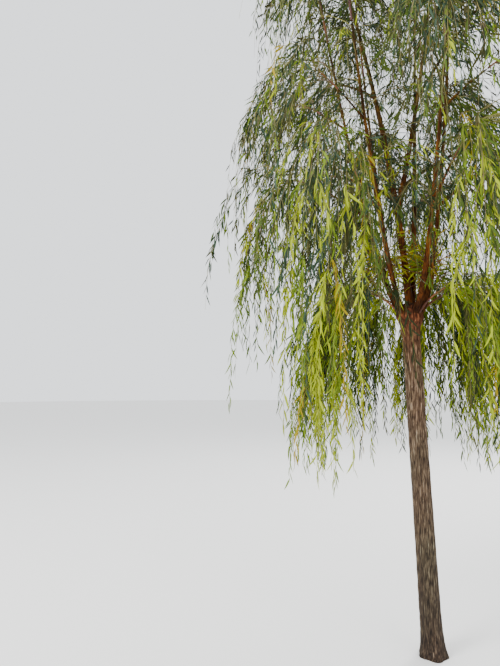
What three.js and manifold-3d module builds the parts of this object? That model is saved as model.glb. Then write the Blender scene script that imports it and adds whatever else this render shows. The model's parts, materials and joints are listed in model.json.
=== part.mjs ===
// A young pollarded weeping willow: one straight trunk, a knobbed head where it was once cut back, a broom
// of steep boughs from that head, side boughs that arch outwards, and hanging foliage round the space under
// it. Millimetres, +Z up. The origin is the middle of the flat cut at ground level. The trunk leans to -X.

import * as THREE from "three";
import { mergeVertices } from "three/addons/utils/BufferGeometryUtils.js";
import Module from "manifold-3d";

const wasm = await Module();
wasm.setup();

const DOWN = new THREE.Vector3(0, 0, -1);
const UP = new THREE.Vector3(0, 0, 1);
const GOLDEN_ANGLE = Math.PI * (3 - Math.sqrt(5));

// Between a limb and what grows from it
const CLEARANCE = 0.3;

// Trunk: its lean, as a run for each unit of height, and its radii at five heights
const LEAN = 0.034;
const FOOT_RADIUS = 77;
const BREAST_HEIGHT = 1300;
const BREAST_RADIUS = 71;
const NECK_HEIGHT = 2270;
const NECK_RADIUS = 67;
const HEAD_HEIGHT = 2500;
const HEAD_RADIUS = 86;
const FORK_HEIGHT = 2560;
const FORK_RADIUS = 52;
const TRUNK_SIDES = 20;
const TRUNK_RINGS = 14;
const RING_CROWDING = 0.72; // towards the root flare and the head

// Root flare: how far it stands out at the ground, the height over which it fades, and its lobes
const FLARE_OUT = 26;
const FLARE_HEIGHT = 90;
const FLARE_LOBES = 5;
const LOBE_DEPTH = 0.3;

// Limbs swell at the collar where they leave their parent. The swelling fades over a share of their length.
const COLLAR = 0.35;
const COLLAR_LENGTH = 0.07;

// Leaders: the main boughs that rise from the head. A leader's run outwards grows with its rise to a power:
// under 1 it leaves flat and then climbs, over 1 it climbs and then leans out. Azimuths are in degrees from
// +X, and low and high are those of its two side boughs.
const LEADERS = [
  { name: "centre", azimuth: 160, spread: 440, rise: 2850, power: 1.5, radius: 34, low: 152, high: 135 },
  { name: "right", azimuth: 14, spread: 370, rise: 2600, power: 0.5, radius: 32, low: 352, high: 12 },
  { name: "rear", azimuth: 78, spread: 520, rise: 2700, power: 0.75, radius: 28, low: 75, high: 53 },
  { name: "left", azimuth: 177, spread: 570, rise: 2450, power: 0.68, radius: 27, low: 195, high: 175 },
  { name: "rear_left", azimuth: 126, spread: 560, rise: 2350, power: 0.6, radius: 24, low: 115, high: 96 },
  { name: "front_left", azimuth: 236, spread: 560, rise: 2200, power: 0.6, radius: 23, low: 245, high: 218 },
  { name: "front_right", azimuth: 306, spread: 560, rise: 2350, power: 0.6, radius: 24, low: 298, high: 274 },
];
const LEADER_START_HEIGHT = 2440;
const LEADER_INSET = 34; // from the head's axis to where a leader with a power under 1 starts
const LEADER_TIP_SHARE = 0.42;
const LEADER_SIDES = 6;
const LEADER_RINGS = 9;
const FOOT_CROWDING = 1.5; // of a leader's rings, towards its foot

// The centre leader forks once, low down, into one more leader.
const FORK = {
  name: "fork",
  parent: "centre",
  at: 0.3,
  azimuth: 5,
  tilt: 12,
  length: 2150,
  low: 32,
  high: 325,
};
const FORK_SHARE = 0.85; // of the parent's radius where it leaves
const FORK_TIP_SHARE = 0.45;
const FORK_STRAIGHTENING = -0.0003;
const FORK_RINGS = 7;

// Side boughs: two to a leader, which all reach as far from the crown's axis
const SIDE_BOUGHS = [
  { tier: "low", at: 0.34, forkAt: 0.1, tilt: 52, reach: 620 },
  { tier: "high", at: 0.66, forkAt: 0.45, tilt: 46, reach: 660 },
];
const SIDE_BOUGH_DROOP = 0.0005;
const SIDE_BOUGH_SHARE = 0.62; // of the leader's radius where it leaves
const SIDE_BOUGH_TIP_SHARE = 0.75;
const SIDE_BOUGH_SIDES = 5;
const SIDE_BOUGH_RINGS = 3;

// Skirt: low foliage on shoots from the head itself
const SKIRT_AZIMUTHS = [200, 328, 20, 75, 132];
const SKIRT_TILT = 34;
const SKIRT_HEIGHT = 2410;
const SKIRT_STEM_RADIUS = 10;

// Foliage by kind of mass: its stem, and its twigs. Stems and twigs bend down by their droop, in radians for
// each millimetre. Twigs start from a first share of the stem's length, and hang is the share of their length
// that the mass's space reaches.
const FOLIAGE = {
  top: {
    stem: 1050,
    droop: 0.0001,
    twigs: 5,
    first: 0.04,
    length: 560,
    twigDroop: 0.005,
    splay: 0.9,
    hang: 0.3,
  },
  high: {
    stem: 340,
    droop: 0.002,
    twigs: 5,
    first: 0.05,
    length: 850,
    twigDroop: 0.006,
    splay: 0.8,
    hang: 1,
  },
  low: {
    stem: 340,
    droop: 0.002,
    twigs: 4,
    first: 0.05,
    length: 1000,
    twigDroop: 0.006,
    splay: 0.8,
    hang: 1,
  },
  skirt: {
    stem: 600,
    droop: 0.0028,
    twigs: 4,
    first: 0.3,
    length: 1080,
    twigDroop: 0.006,
    splay: 0.7,
    hang: 1,
  },
};
const TWIG_SIDES = 3;
const STEM_STEPS = 5;
const STEM_TIP_SHARE = 0.75;
const TWIG_STEPS = 3;
const TWIG_STEP_GROWTH = 1.7;
const TWIG_RADIUS = 6.5;
const TWIG_TIP_SHARE = 0.7;
const TWIG_SCATTER = 0.5; // of a twig's place along the stem, and of its length
const ANCHOR_SPACING = 0.125; // of the stem's length
const ANCHOR_FALL = 150;
const SPACE_MARGIN = 8;

// Leaves: blades of eight faces, each of which stands for a hanging spray
const LEAF_LENGTH = 460;
const LEAF_WIDTH = 96;
const LEAF_THICKNESS = 7;
const LEAF_BROADEST = 0.36; // of the length from the root
const LEAF_SINK = 3;
const LEAF_SPACING = 205;
const LEAF_OFFSET = 0.4;
const LEAF_SCATTER = 0.5;
const LEAF_SPLAY = 0.6;
const LEAF_HANG = 0.35;
const LEAF_CLEAR = 3;
const FUSE_TOLERANCE = 0.3;

const oldBark = new THREE.MeshStandardMaterial({ color: 0x6b5748, roughness: 0.95, metalness: 0 });
const youngBark = new THREE.MeshStandardMaterial({ color: 0x7a4326, roughness: 0.85, metalness: 0 });
const foliage = new THREE.MeshStandardMaterial({ color: 0x7d9a35, roughness: 0.6, metalness: 0 });

// A seeded generator of numbers from 0 to 1
function seeded(seed) {
  let state = seed >>> 0;
  return () => {
    state = (state + 0x6d2b79f5) >>> 0;
    let t = state;
    t = Math.imul(t ^ (t >>> 15), t | 1);
    t ^= t + Math.imul(t ^ (t >>> 7), t | 61);
    return ((t ^ (t >>> 14)) >>> 0) / 4294967296;
  };
}

function heading(azimuthDegrees, tiltDegrees) {
  const azimuth = THREE.MathUtils.degToRad(azimuthDegrees);
  const tilt = THREE.MathUtils.degToRad(tiltDegrees);
  return new THREE.Vector3(
    Math.sin(tilt) * Math.cos(azimuth),
    Math.sin(tilt) * Math.sin(azimuth),
    Math.cos(tilt),
  );
}

function trunkAxis(height) {
  return new THREE.Vector3(-LEAN * height, 0, height);
}

// Closed solids

function solidFromFaces(corners, faces) {
  return new wasm.Manifold(
    new wasm.Mesh({
      numProp: 3,
      vertProperties: new Float32Array(corners.flatMap((corner) => corner.toArray())),
      triVerts: new Uint32Array(faces),
    }),
  );
}

function centreOf(ring) {
  return ring.reduce((sum, point) => sum.add(point), new THREE.Vector3()).divideScalar(ring.length);
}

// A tube through rings of points. A three-sided one has a triangle at each end, any other a fan.
function solidFromRings(rings) {
  const sides = rings[0].length;
  const last = (rings.length - 1) * sides;
  const corners = rings.flat();
  const faces = [];
  if (sides === 3) {
    faces.push(0, 2, 1, last, last + 1, last + 2);
  } else {
    corners.push(centreOf(rings[0]), centreOf(rings.at(-1)));
  }
  for (let side = 0; side < sides; side++) {
    const next = (side + 1) % sides;
    if (sides > 3) {
      faces.push(last + sides, next, side);
      faces.push(last + sides + 1, last + side, last + next);
    }
    for (let low = 0; low < last; low += sides) {
      const high = low + sides;
      faces.push(low + side, low + next, high + next);
      faces.push(low + side, high + next, high + side);
    }
  }
  return solidFromFaces(corners, faces);
}

// At each point of a path: the way along it, and two directions square to that, carried along without twist
function framesAlong(points) {
  let across = new THREE.Vector3(0, 1, 0);
  return points.map((_, i) => {
    const before = points[Math.max(i - 1, 0)];
    const after = points[Math.min(i + 1, points.length - 1)];
    const along = after.clone().sub(before).normalize();
    across = across.clone().addScaledVector(along, -across.dot(along)).normalize();
    return { along, across, over: along.clone().cross(across) };
  });
}

function roundAbout({ across, over }, angle) {
  return across.clone().multiplyScalar(Math.cos(angle)).addScaledVector(over, Math.sin(angle));
}

// A tube along a path, its faces moved out by an extra amount where it serves to cut others clear
function solidAlong(points, radii, sides, extra = 0) {
  const rings = framesAlong(points).map((frame, i) => {
    const radius = radii[i] + extra / Math.cos(Math.PI / sides);
    return Array.from({ length: sides }, (_, side) =>
      points[i].clone().addScaledVector(roundAbout(frame, (2 * Math.PI * side) / sides), radius),
    );
  });
  return solidFromRings(rings);
}

// Paths

// A path that leaves a point on a heading and bends towards the ground as it goes. Each step may be longer
// than the one before it, so that a twig which arches over has its short steps where it bends.
function bendingPath(start, direction, length, steps, droop, growth = 1) {
  const shares = Array.from({ length: steps }, (_, i) => growth ** i);
  const sum = shares.reduce((total, share) => total + share, 0);
  const points = [start.clone()];
  const along = direction.clone().normalize();
  for (const share of shares) {
    const step = (length * share) / sum;
    points.push(points.at(-1).clone().addScaledVector(along, step));
    along.addScaledVector(DOWN, droop * step).normalize();
  }
  return points;
}

function pathLength(points) {
  return points.slice(1).reduce((total, point, i) => total + point.distanceTo(points[i]), 0);
}

// The share of a path's points that lies a length along it
function shareAlong(points, length) {
  let left = length;
  for (let i = 0; i < points.length - 1; i++) {
    const step = points[i].distanceTo(points[i + 1]);
    if (left <= step) return (i + left / step) / (points.length - 1);
    left -= step;
  }
  return 1;
}

function stepAt(points, share) {
  const place = share * (points.length - 1);
  const step = Math.min(Math.floor(place), points.length - 2);
  return { step, part: place - step };
}

function pointAt(points, share) {
  const { step, part } = stepAt(points, share);
  return points[step].clone().lerp(points[step + 1], part);
}

function directionAt(points, share) {
  const { step } = stepAt(points, share);
  return points[step + 1].clone().sub(points[step]).normalize();
}

function radiusAt({ radii }, share) {
  const { step, part } = stepAt(radii, share);
  return THREE.MathUtils.lerp(radii[step], radii[step + 1], part);
}

function distanceToPath(points, point) {
  const line = new THREE.Line3();
  const foot = new THREE.Vector3();
  let least = Infinity;
  for (let i = 0; i < points.length - 1; i++) {
    line.set(points[i], points[i + 1]).closestPointToPoint(point, true, foot);
    least = Math.min(least, foot.distanceTo(point));
  }
  return least;
}

// Trunk and limbs

function trunkRadius(height) {
  const stations = [
    [0, FOOT_RADIUS],
    [BREAST_HEIGHT, BREAST_RADIUS],
    [NECK_HEIGHT, NECK_RADIUS],
    [HEAD_HEIGHT, HEAD_RADIUS],
    [FORK_HEIGHT, FORK_RADIUS],
  ];
  const next = Math.max(1, stations.findIndex(([top]) => top >= height));
  const [lowHeight, lowRadius] = stations[next - 1];
  const [highHeight, highRadius] = stations[next];
  const share = (height - lowHeight) / (highHeight - lowHeight);
  const eased = highHeight > NECK_HEIGHT ? THREE.MathUtils.smoothstep(share, 0, 1) : share;
  return THREE.MathUtils.lerp(lowRadius, highRadius, eased);
}

function trunkRing(height, extra) {
  const centre = trunkAxis(height);
  const flare = FLARE_OUT * Math.exp(-height / FLARE_HEIGHT);
  return Array.from({ length: TRUNK_SIDES }, (_, side) => {
    const angle = (2 * Math.PI * side) / TRUNK_SIDES;
    const lobe = 1 + LOBE_DEPTH * Math.cos(FLARE_LOBES * angle);
    const radius = trunkRadius(height) + flare * lobe + extra / Math.cos(Math.PI / TRUNK_SIDES);
    return new THREE.Vector3(Math.cos(angle), Math.sin(angle), 0).multiplyScalar(radius).add(centre);
  });
}

function trunkSolid(extra = 0) {
  const rings = Array.from({ length: TRUNK_RINGS + 1 }, (_, ring) => {
    const share = ring / TRUNK_RINGS;
    const crowded = share - (RING_CROWDING * Math.sin(2 * Math.PI * share)) / (2 * Math.PI);
    return trunkRing(FORK_HEIGHT * crowded, extra);
  });
  rings.at(-1).forEach((corner) => corner.addScaledVector(UP, extra));
  return solidFromRings(rings);
}

// A limb is its path and its radii. It tapers evenly from its collar.
function limb(name, points, footRadius, tipRadius, sides) {
  const radii = points.map((_, i) => {
    const share = i / (points.length - 1);
    const collar = 1 + COLLAR * Math.exp(-share / COLLAR_LENGTH);
    return THREE.MathUtils.lerp(footRadius, tipRadius, share) * collar;
  });
  return { name, points, radii, sides };
}

function limbSolid({ points, radii, sides }, extra = 0) {
  return solidAlong(points, radii, sides, extra);
}

function leaderLimb({ name, azimuth, spread, rise, power, radius }) {
  const start = trunkAxis(LEADER_START_HEIGHT);
  const out = heading(azimuth, 90);
  const inset = power < 1 ? LEADER_INSET : 0;
  const points = Array.from({ length: LEADER_RINGS + 1 }, (_, ring) => {
    const share = (ring / LEADER_RINGS) ** FOOT_CROWDING;
    const run = inset + spread * share ** power;
    return start.clone().addScaledVector(out, run).addScaledVector(UP, rise * share);
  });
  return limb("bough_" + name, points, radius, radius * LEADER_TIP_SHARE, LEADER_SIDES);
}

// Where a share of a leader's rise lies among its points, which crowd towards its foot
function leaderShare(riseShare) {
  return riseShare ** (1 / FOOT_CROWDING);
}

function forkLimb(parent) {
  const share = leaderShare(FORK.at);
  const start = pointAt(parent.points, share);
  const radius = radiusAt(parent, share) * FORK_SHARE;
  const direction = heading(FORK.azimuth, FORK.tilt);
  const points = bendingPath(start, direction, FORK.length, FORK_RINGS, FORK_STRAIGHTENING);
  return limb("bough_" + FORK.name, points, radius, radius * FORK_TIP_SHARE, LEADER_SIDES);
}

function sideBoughLimb(leader, name, azimuth, { tier, at, forkAt, tilt, reach }) {
  const share = name === FORK.name ? forkAt : leaderShare(at);
  const start = pointAt(leader.points, share);
  const run = start.clone().sub(trunkAxis(FORK_HEIGHT)).dot(heading(azimuth, 90));
  const length = (reach - run) / Math.sin(THREE.MathUtils.degToRad(tilt));
  const radius = radiusAt(leader, share) * SIDE_BOUGH_SHARE;
  const points = bendingPath(start, heading(azimuth, tilt), length, SIDE_BOUGH_RINGS, SIDE_BOUGH_DROOP);
  const title = "side_bough_" + name + "_" + tier;
  return { tier, ...limb(title, points, radius, radius * SIDE_BOUGH_TIP_SHARE, SIDE_BOUGH_SIDES) };
}

function growLimbs() {
  const grown = LEADERS.map((plan) => ({ plan, leader: leaderLimb(plan) }));
  const forked = grown.find(({ plan }) => plan.name === FORK.parent);
  grown.push({ plan: FORK, leader: forkLimb(forked.leader) });
  const sideBoughs = grown.flatMap(({ plan, leader }) =>
    SIDE_BOUGHS.map((side) => sideBoughLimb(leader, plan.name, plan[side.tier], side)),
  );
  return { leaders: grown.map(({ leader }) => leader), sideBoughs };
}

// Masses of foliage

// A mass's plan: its stem, and the anchors that mark out the space it keeps to
function massPlan(name, kind, start, direction, radius) {
  const { stem, droop, length, hang } = FOLIAGE[kind];
  const points = bendingPath(start, direction, stem, STEM_STEPS, droop);
  const anchors = [];
  for (let share = 0; share <= 1; share += ANCHOR_SPACING) {
    const reach = kind === "top" ? length * hang : length * hang * share;
    for (let fall = 0; fall <= reach; fall += ANCHOR_FALL) {
      anchors.push(pointAt(points, share).addScaledVector(DOWN, fall));
    }
  }
  return { name, kind, points, anchors, radius };
}

function planAtTip(one, kind, name) {
  const direction = directionAt(one.points, 1);
  const start = one.points.at(-1).clone().addScaledVector(direction, CLEARANCE);
  return massPlan(name, kind, start, direction, one.radii.at(-1));
}

function planOnHead(azimuth, i) {
  const name = "foliage_skirt_" + (i + 1);
  const start = trunkAxis(SKIRT_HEIGHT).addScaledVector(heading(azimuth, 90), HEAD_RADIUS / 2);
  return massPlan(name, "skirt", start, heading(azimuth, SKIRT_TILT), SKIRT_STEM_RADIUS);
}

function planMasses({ leaders, sideBoughs }) {
  return [
    ...leaders.map((one) => planAtTip(one, "top", one.name.replace("bough", "foliage") + "_top")),
    ...sideBoughs.map((one) => planAtTip(one, one.tier, one.name.replace("side_bough", "foliage"))),
    ...SKIRT_AZIMUTHS.map(planOnHead),
  ];
}

function nearest(anchors, point) {
  return anchors.reduce((least, anchor) => Math.min(least, anchor.distanceTo(point)), Infinity);
}

// True where a point is nearer to this mass than to any other, above the ground, and clear of every limb
function inItsSpace(plan, { plans, limbs }, point, girth) {
  if (point.z < 0) return false;
  const own = nearest(plan.anchors, point) + SPACE_MARGIN;
  if (plans.some((other) => other !== plan && nearest(other.anchors, point) < own)) return false;
  return limbs.every((one) => distanceToPath(one.points, point) > Math.max(...one.radii) + girth);
}

// A mass's twigs leave its stem in turn, by the golden angle, and each bends down as it goes. A twig stops
// where it would leave the mass's space.
function twigPaths(plan, crown, random) {
  const { first, twigs, length, twigDroop, splay } = FOLIAGE[plan.kind];
  const stemFrames = framesAlong(plan.points);
  const paths = [];
  for (let twig = 0; twig < twigs; twig++) {
    const share = first + ((1 - first) * (twig + TWIG_SCATTER * random())) / twigs;
    const frame = stemFrames[Math.floor(share * STEM_STEPS)];
    const side = roundAbout(frame, twig * GOLDEN_ANGLE + random());
    const direction = frame.along.clone().addScaledVector(side, splay);
    const reach = length * (1 + TWIG_SCATTER * (random() - 0.5));
    const start = pointAt(plan.points, share);
    const points = bendingPath(start, direction, reach, TWIG_STEPS, twigDroop, TWIG_STEP_GROWTH);
    const end = points.findIndex((point, i) => i > 0 && !inItsSpace(plan, crown, point, 2 * TWIG_RADIUS));
    const kept = end < 0 ? points : points.slice(0, end);
    if (kept.length > 2) paths.push(kept);
  }
  return paths;
}

function twigSolid(path, radius, tipShare) {
  const radii = path.map((_, i) => radius * THREE.MathUtils.lerp(1, tipShare, i / (path.length - 1)));
  return solidAlong(path, radii, TWIG_SIDES);
}

// A leaf's six corners: its root, four round its broadest part, where it is thickest too, and its tip
function leafCorners(root, direction, side) {
  const across = direction.clone().cross(side).normalize();
  const over = direction.clone().cross(across).normalize();
  const middle = root.clone().addScaledVector(direction, LEAF_LENGTH * LEAF_BROADEST);
  return [
    root,
    middle.clone().addScaledVector(across, LEAF_WIDTH / 2),
    middle.clone().addScaledVector(over, LEAF_THICKNESS / 2),
    middle.clone().addScaledVector(across, -LEAF_WIDTH / 2),
    middle.clone().addScaledVector(over, -LEAF_THICKNESS / 2),
    root.clone().addScaledVector(direction, LEAF_LENGTH),
  ];
}

function leafSolid(corners) {
  const faces = [];
  for (let side = 0; side < 4; side++) {
    const next = ((side + 1) % 4) + 1;
    faces.push(0, next, side + 1);
    faces.push(5, side + 1, next);
  }
  return solidFromFaces(corners, faces);
}

// A leaf that leaves one face of a twig and hangs from it, or nothing where it would leave the mass's space
// or touch a limb, its own twig again, another twig or another leaf
function leafOn(twig, share, face, near, plan, crown) {
  const frame = framesAlong(twig.path)[Math.floor(share * (twig.path.length - 1))];
  const side = roundAbout(frame, (2 * Math.PI * (face + 0.5)) / TWIG_SIDES);
  const splayed = frame.along.clone().addScaledVector(side, LEAF_SPLAY);
  const direction = splayed.addScaledVector(DOWN, LEAF_HANG).normalize();
  const root = pointAt(twig.path, share).addScaledVector(direction, -LEAF_SINK);
  const corners = leafCorners(root, direction, side);
  const free = corners.slice(1);
  if (!free.every((corner) => inItsSpace(plan, crown, corner, LEAF_THICKNESS))) return undefined;
  if (free.some((corner) => distanceToPath(twig.path, corner) < TWIG_RADIUS)) return undefined;
  const leaf = leafSolid(corners);
  return near.some((other) => other.minGap(leaf, LEAF_CLEAR) < LEAF_CLEAR) ? undefined : leaf;
}

// Leaves leave a twig's three faces in turn. One with no room there tries the other two faces, and is
// skipped where they have no room for it either.
function leavesOn(twig, near, plan, crown, random) {
  const length = pathLength(twig.path);
  const count = Math.max(2, Math.round(length / LEAF_SPACING));
  const grown = [];
  for (let place = 0; place < count; place++) {
    const along = (length * (place + LEAF_OFFSET + LEAF_SCATTER * random())) / count;
    const share = shareAlong(twig.path, along);
    for (let turn = 0; turn < TWIG_SIDES; turn++) {
      const leaf = leafOn(twig, share, (place + turn) % TWIG_SIDES, [...near, ...grown], plan, crown);
      if (!leaf) continue;
      grown.push(leaf);
      break;
    }
  }
  return grown;
}

function massSolid(plan, crown, seed) {
  const random = seeded(seed);
  const stem = { path: plan.points, solid: twigSolid(plan.points, plan.radius, STEM_TIP_SHARE) };
  const twigs = twigPaths(plan, crown, random).map((path) => ({
    path,
    solid: twigSolid(path, TWIG_RADIUS, TWIG_TIP_SHARE),
  }));
  const growing = [...twigs, stem];
  const leaves = [];
  for (const twig of growing) {
    const others = growing.filter((one) => one !== twig).map(({ solid }) => solid);
    leaves.push(...leavesOn(twig, [...others, ...leaves], plan, crown, random));
  }
  return wasm.Manifold.union([...growing.map(({ solid }) => solid), ...leaves]).simplify(FUSE_TOLERANCE);
}

// The whole tree

// A solid cut clear of what was made before it, less any scrap that the cut leaves loose
function cutClear(solid, cutters) {
  const left = cutters.reduce((rest, cutter) => rest.subtract(cutter), solid);
  return left.decompose().reduce((best, piece) => (piece.volume() > best.volume() ? piece : best));
}

function meshOf(name, solid, material) {
  const { vertProperties, triVerts } = solid.getMesh();
  const geometry = new THREE.BufferGeometry();
  geometry.setAttribute("position", new THREE.BufferAttribute(vertProperties, 3));
  geometry.setIndex(new THREE.BufferAttribute(triVerts, 1));
  const merged = mergeVertices(geometry);
  merged.computeVertexNormals();
  const mesh = new THREE.Mesh(merged, material);
  mesh.name = name;
  return mesh;
}

function buildTree() {
  const tree = new THREE.Group();
  tree.name = "weeping_willow";
  const grown = growLimbs();
  const trunkLine = {
    points: [trunkAxis(0), trunkAxis(FORK_HEIGHT)],
    radii: [HEAD_RADIUS, HEAD_RADIUS],
  };

  tree.add(meshOf("trunk", trunkSolid(), oldBark));
  const cutters = [trunkSolid(CLEARANCE)];
  const limbs = [...grown.leaders, ...grown.sideBoughs];
  for (const one of limbs) {
    tree.add(meshOf(one.name, cutClear(limbSolid(one), cutters), youngBark));
    cutters.push(limbSolid(one, CLEARANCE));
  }

  const plans = planMasses(grown);
  const crown = { plans, limbs: [trunkLine, ...limbs] };
  plans.forEach((plan, i) => {
    const solid = cutClear(massSolid(plan, crown, i + 1), cutters);
    tree.add(meshOf(plan.name, solid, foliage));
  });
  return tree;
}

export default buildTree();
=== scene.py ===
"""A young pollarded weeping willow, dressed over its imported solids.

The trunk, the boughs and the side boughs are drawn out ring by ring and given their bark's relief. The
foliage grows on from them by the rule that made the solids, carried on to finer twigs and to single leaves.
Metres, +Z up, with the origin in the middle of the flat cut at ground level.
"""

import json
import math

import bpy
import numpy as np
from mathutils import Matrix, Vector

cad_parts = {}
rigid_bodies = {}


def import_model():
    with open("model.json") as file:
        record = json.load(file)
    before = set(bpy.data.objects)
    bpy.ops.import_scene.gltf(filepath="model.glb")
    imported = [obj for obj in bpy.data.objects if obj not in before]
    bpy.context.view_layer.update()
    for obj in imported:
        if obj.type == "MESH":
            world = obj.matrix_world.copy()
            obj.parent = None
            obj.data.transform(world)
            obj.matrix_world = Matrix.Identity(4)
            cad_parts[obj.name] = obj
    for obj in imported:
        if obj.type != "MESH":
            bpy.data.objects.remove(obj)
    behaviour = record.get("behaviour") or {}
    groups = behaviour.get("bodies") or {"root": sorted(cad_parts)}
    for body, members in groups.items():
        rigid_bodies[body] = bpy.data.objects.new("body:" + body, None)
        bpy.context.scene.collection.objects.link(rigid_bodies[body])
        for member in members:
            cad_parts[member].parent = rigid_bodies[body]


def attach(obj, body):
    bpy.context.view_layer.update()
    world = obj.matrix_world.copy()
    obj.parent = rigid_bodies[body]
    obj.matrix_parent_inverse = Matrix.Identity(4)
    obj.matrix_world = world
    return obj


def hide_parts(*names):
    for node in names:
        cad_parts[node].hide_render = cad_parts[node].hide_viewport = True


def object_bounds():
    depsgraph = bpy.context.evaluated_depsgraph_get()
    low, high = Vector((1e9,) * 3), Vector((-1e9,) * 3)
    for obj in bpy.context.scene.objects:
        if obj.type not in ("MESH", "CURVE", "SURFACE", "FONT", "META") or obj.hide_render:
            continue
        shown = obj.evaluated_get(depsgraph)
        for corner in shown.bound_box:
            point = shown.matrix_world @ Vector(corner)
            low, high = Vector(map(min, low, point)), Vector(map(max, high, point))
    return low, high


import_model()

solids_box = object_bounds()

DOWN = np.array([0.0, 0.0, -1.0])
UP = -DOWN
GOLDEN_ANGLE = math.pi * (3 - math.sqrt(5))
SPLINE_STEPS = 12
ROUNDING = 1e-9

# Camera, turned up and to its left in degrees, so that the tree stands at the right of the picture
CAMERA_PLACE = (0, -4.027, 1.93)
CAMERA_UP = 5.9
CAMERA_LEFT = 19.04
SENSOR_WIDTH = 36
LENS = 27.03

# Studio: each light's place, size and power, the surround, and the floor
LIGHTS = [
    ("key_light", (-7, -8, 9), 5, 1700),
    ("fill_light", (8, -6, 5), 7, 300),
    ("rim_light", (4, 9, 9), 5, 1300),
]
LIGHT_AIM = (0, 0, 3)
SURROUND_COLOUR = (0.90, 0.93, 0.96, 1)
SURROUND_STRENGTH = 1.9
FLOOR_COLOUR = (0.82, 0.81, 0.79, 1)
FLOOR_RADIUS = 60
FLOOR_SIDES = 96

# Trunk, as in the solids: its lean, its radii by height, and its root flare
LEAN = 0.034
LEAN_AZIMUTH = 180
TRUNK_RADII = [(0.0, 0.077), (1.3, 0.071), (2.27, 0.067), (2.5, 0.086), (2.56, 0.052)]
NECK_HEIGHT = 2.27
HEAD_RADIUS = 0.086
FORK_HEIGHT = 2.56
FLARE_OUT = 0.026
FLARE_HEIGHT = 0.09
FLARE_LOBES = 5
LOBE_DEPTH = 0.3

# Trunk's mesh, with its rings closer together at both ends, and its bark's relief
TRUNK_SIDES = 20
TRUNK_RINGS = 26
TRUNK_LEVELS = 3
RING_CROWDING = 0.72
TRUNK_RELIEF = dict(cell=0.014, stretch=10, depth=0.006, crumb_depth=0.006)

# Old wood that swells round the head: knobs where its low shoots leave, and ledges that the leaders stand on
KNOB_HEIGHTS = [2.46, 2.42, 2.44, 2.40, 2.47]
KNOB_OUT = 0.013
KNOB_SIZE = 0.045
LEDGE_HEIGHT = 2.45
LEDGE_OUT = 0.01
LEDGE_SIZE = 0.045

# Knuckles on two leaders, above the head, each slimmer above its knuckle
KNUCKLED_LEADERS = ["left", "right"]
KNUCKLE_HEIGHT = 2.82
KNUCKLE_SIZE = 0.07
KNUCKLE_SWELL = 0.6
ABOVE_KNUCKLE = 0.46
SLIMMING_SPEED = 2

# Limbs, as in the solids
COLLAR = 0.35
COLLAR_LENGTH = 0.07
LEADER_START_HEIGHT = 2.44
LEADER_INSET = 0.034
LEADER_TIP_SHARE = 0.42
LEADER_RINGS = 9
FOOT_CROWDING = 1.5
LEADERS = [
    dict(name="centre", azimuth=160, spread=0.44, rise=2.85, power=1.5, radius=0.034, low=152, high=135),
    dict(name="right", azimuth=14, spread=0.37, rise=2.6, power=0.5, radius=0.032, low=352, high=12),
    dict(name="rear", azimuth=78, spread=0.52, rise=2.7, power=0.75, radius=0.028, low=75, high=53),
    dict(name="left", azimuth=177, spread=0.57, rise=2.45, power=0.68, radius=0.027, low=195, high=175),
    dict(name="rear_left", azimuth=126, spread=0.56, rise=2.35, power=0.6, radius=0.024, low=115, high=96),
    dict(name="front_left", azimuth=236, spread=0.56, rise=2.2, power=0.6, radius=0.023, low=245, high=218),
    dict(name="front_right", azimuth=306, spread=0.56, rise=2.35, power=0.6, radius=0.024, low=298, high=274),
]
FORK = dict(name="fork", parent="centre", at=0.3, azimuth=5, tilt=12, length=2.15, low=32, high=325)
FORK_SHARE = 0.85
FORK_TIP_SHARE = 0.45
FORK_STRAIGHTENING = -0.3
FORK_RINGS = 7
SIDE_BOUGHS = [
    dict(tier="low", at=0.34, fork_at=0.1, tilt=52, reach=0.62),
    dict(tier="high", at=0.66, fork_at=0.45, tilt=46, reach=0.66),
]
SIDE_BOUGH_DROOP = 0.5
SIDE_BOUGH_SHARE = 0.62
SIDE_BOUGH_TIP_SHARE = 0.75
SIDE_BOUGH_RINGS = 3
SKIRT_AZIMUTHS = [200, 328, 20, 75, 132]
SKIRT_TILT = 34
SKIRT_HEIGHT = 2.41
SKIRT_STEM_RADIUS = 0.01

# Limbs' meshes, and their bark's relief, with its depths as shares of the limb's radius at its foot
LEADER_MESH = dict(rings=28, sides=10, levels=2)
SIDE_BOUGH_MESH = dict(rings=6, sides=8, levels=2)
LIMB_CELL = 0.015
LIMB_STRETCH = 8
LIMB_DEPTH = 0.13
LIMB_CRUMB_DEPTH = 0.12

# How both barks' relief is made: ridges, crumbs on them, and the percentiles of height that count as its ends
RIDGE_CONTRAST = 1.4
CRUMB_SIZE = 0.5
CRUMB_DETAIL = 3
RELIEF_ENDS = [2, 98]

# Foliage, as in the solids, by kind of mass
FOLIAGE = {
    "top": dict(stem=1.05, droop=0.1, first=0.04, twigs=5, length=0.56, twig_droop=5, splay=0.9, hang=0.3),
    "high": dict(stem=0.34, droop=2, first=0.05, twigs=5, length=0.85, twig_droop=6, splay=0.8, hang=1),
    "low": dict(stem=0.34, droop=2, first=0.05, twigs=4, length=1.0, twig_droop=6, splay=0.8, hang=1),
    "skirt": dict(stem=0.6, droop=2.8, first=0.3, twigs=4, length=1.08, twig_droop=6, splay=0.7, hang=1),
}
CLEARANCE = 0.0003
STEM_STEPS = 5
TWIG_STEPS = 3
TWIG_STEP_GROWTH = 1.7
TWIG_GIRTH = 0.013
TWIG_SCATTER = 0.5
TWIG_LAST = 0.999
TWIG_LEAST_POINTS = 3
ANCHOR_SPACING = 0.125
ANCHOR_FALL = 0.15
SPACE_MARGIN = 0.008
SPRAY_SPLAY = 0.6
SPRAY_HANG = 0.35

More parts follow.
